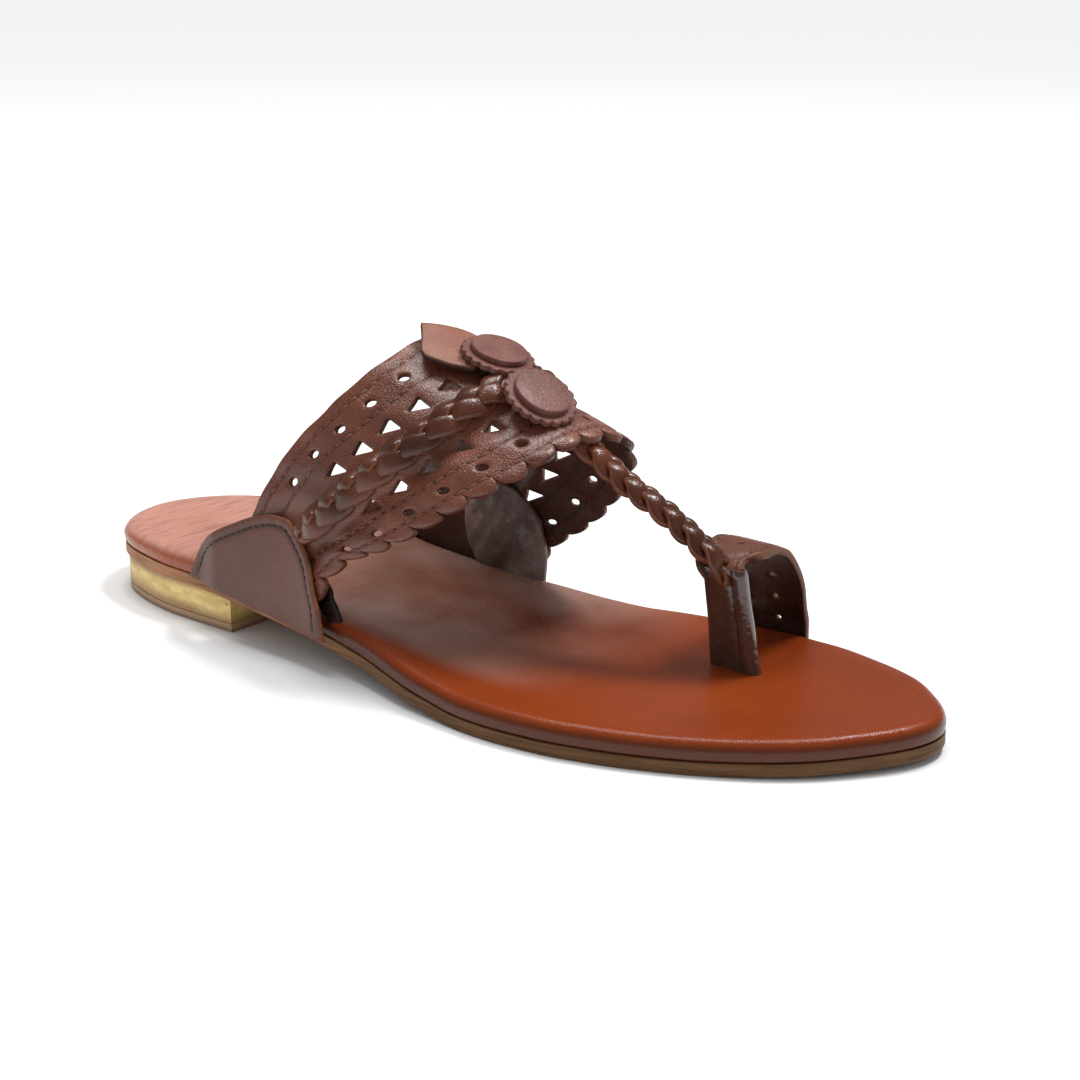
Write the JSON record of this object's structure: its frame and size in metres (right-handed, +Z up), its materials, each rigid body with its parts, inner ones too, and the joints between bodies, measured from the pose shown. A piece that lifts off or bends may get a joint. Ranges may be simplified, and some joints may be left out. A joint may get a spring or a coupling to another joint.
{
  "type": "kolhapuri sandal",
  "caption": "Right flat leather slide sandal: punched and scalloped instep band with a raised braid, braided strap to a toe loop with a post, two toothed rosettes, low wooden heel.",
  "frame": {"origin": "on the floor under the middle of the sandal's bounding box", "axes": "+X towards the toe, +Y towards the inner (big toe) side, +Z up"},
  "size_m": [0.2554, 0.0921, 0.0865],
  "materials": {
    "dark_leather": "satin",
    "tan_leather": "semi-gloss",
    "sole_leather": "matte",
    "heel_wood": "satin",
    "lift_rubber": "matte"
  },
  "bodies": {
    "root": {"outsole": "sole_leather", "heel_block": "heel_wood", "top_lift": "lift_rubber", "footbed": "tan_leather", "upper": "dark_leather", "wing_lateral": "dark_leather", "wing_medial": "dark_leather", "top_flap": "dark_leather", "rosette_rear_disc": "dark_leather", "rosette_rear_cap": "dark_leather", "rosette_front_disc": "dark_leather", "rosette_front_cap": "dark_leather"}
  },
  "joints": []
}
